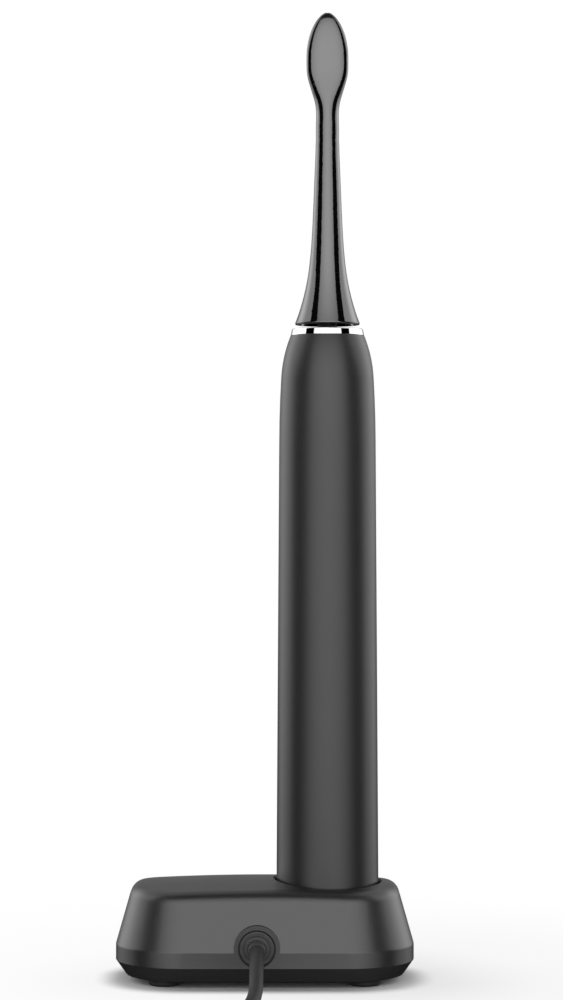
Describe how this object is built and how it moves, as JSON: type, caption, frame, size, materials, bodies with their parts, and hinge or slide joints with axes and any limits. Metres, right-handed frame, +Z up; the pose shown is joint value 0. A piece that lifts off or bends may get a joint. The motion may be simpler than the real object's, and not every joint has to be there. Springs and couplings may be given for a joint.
{
  "type": "electric toothbrush on charging base",
  "caption": "Slim electric toothbrush with a flared gloss brush head and matte tapered handle, standing in the cup of a low drafted charging base with a corded plug.",
  "frame": {"origin": "on the surface that the base stands on, under the middle of the base's outline", "axes": "+X along the base towards the handle, +Y from the cord side to the button and bristle side, +Z up"},
  "size_m": [0.087, 0.1863, 0.2624],
  "materials": {
    "base_plastic": "satin moulded plastic",
    "plate_plastic": "satin moulded plastic",
    "foot_rubber": "matte rubber",
    "steel": "plated steel",
    "ferrite": "sintered ferrite",
    "copper": null,
    "board": "solder mask on glass fibre board",
    "chip": "moulded component cases",
    "gland_rubber": "matte flexible moulding",
    "cord_jacket": "matte flexible jacket",
    "tie": "soft band",
    "plug_plastic": "satin moulded plastic",
    "plug_steel": "nickel-plated sheet",
    "contact": "gold-plated contacts",
    "handle_coat": "soft matte coating",
    "ring_chrome": "mirror polish",
    "seal_rubber": "silicone rubber",
    "frame_plastic": "glass-filled plastic",
    "cap_plastic": "satin moulded plastic",
    "bush": "sintered bronze",
    "lamination": "laminated steel",
    "cell_wrap": "shrink wrap on steel can",
    "led": "clear lamp body",
    "guide": "translucent light guide",
    "magnet": "nickel-plated magnet",
    "button_plastic": "smooth moulded plastic",
    "plunger": "moulded switch plunger",
    "head_gloss": "high gloss moulded plastic",
    "insert": "drawn steel socket",
    "bristle": "nylon filaments"
  },
  "bodies": {
    "charger": {"base_housing": "base_plastic", "base_plate": "plate_plastic", "foot_left_near": "foot_rubber", "foot_left_far": "foot_rubber", "foot_right_near": "foot_rubber", "foot_right_far": "foot_rubber", "base_screws": "steel", "charge_core": "ferrite", "primary_coil": "copper", "charger_board": "board", "charger_parts": "chip", "cord_grommet": "gland_rubber", "strain_relief": "gland_rubber", "power_cord": "cord_jacket", "cord_coil": "cord_jacket", "cord_tie": "tie", "plug_lead": "cord_jacket", "plug_body": "plug_plastic", "plug_shell": "plug_steel", "plug_tongue": "chip", "plug_contacts": "contact"},
    "handle": {"handle_shell": "handle_coat", "top_ring": "ring_chrome", "shaft_seal": "seal_rubber", "inner_frame": "frame_plastic", "bottom_cap": "cap_plastic", "cap_seal": "seal_rubber", "receiver_coil": "copper", "motor_case": "steel", "motor_end_cap": "frame_plastic", "front_bush": "bush", "rear_bush": "bush", "stator_core": "lamination", "stator_coils": "copper", "battery_cell": "cell_wrap", "battery_tabs": "steel", "main_board": "board", "board_chips": "chip", "status_leds": "led", "light_guide": "guide", "switch_base": "chip", "button_gasket": "seal_rubber", "frame_screws": "steel"},
    "rotor": {"drive_shaft": "steel", "rotor_yoke": "lamination", "rotor_magnets": "magnet"},
    "power_button": {"button_cap": "button_plastic", "switch_plunger": "plunger"},
    "brush_head": {"head_body": "head_gloss", "socket_insert": "insert", "bristles": "bristle"}
  },
  "joints": [
    {"name": "brush_lift", "type": "slide", "parent": "charger", "child": "handle", "axis": [0, 0, 1], "range_m": [0, 0.04]},
    {"name": "shaft_swing", "type": "hinge", "parent": "handle", "child": "rotor", "pos_m": [0.017, 0, 0.15], "axis": [0, 0, 1], "range_deg": [-5, 5], "stiffness_Nm_per_rad": 0.02},
    {"name": "button_press", "type": "slide", "parent": "handle", "child": "power_button", "axis": [0, -1, 0], "range_m": [0, 0.0005], "stiffness_N_per_m": 2000},
    {"name": "head_pull", "type": "slide", "parent": "rotor", "child": "brush_head", "axis": [0, 0, 1], "range_m": [0, 0.03]}
  ]
}
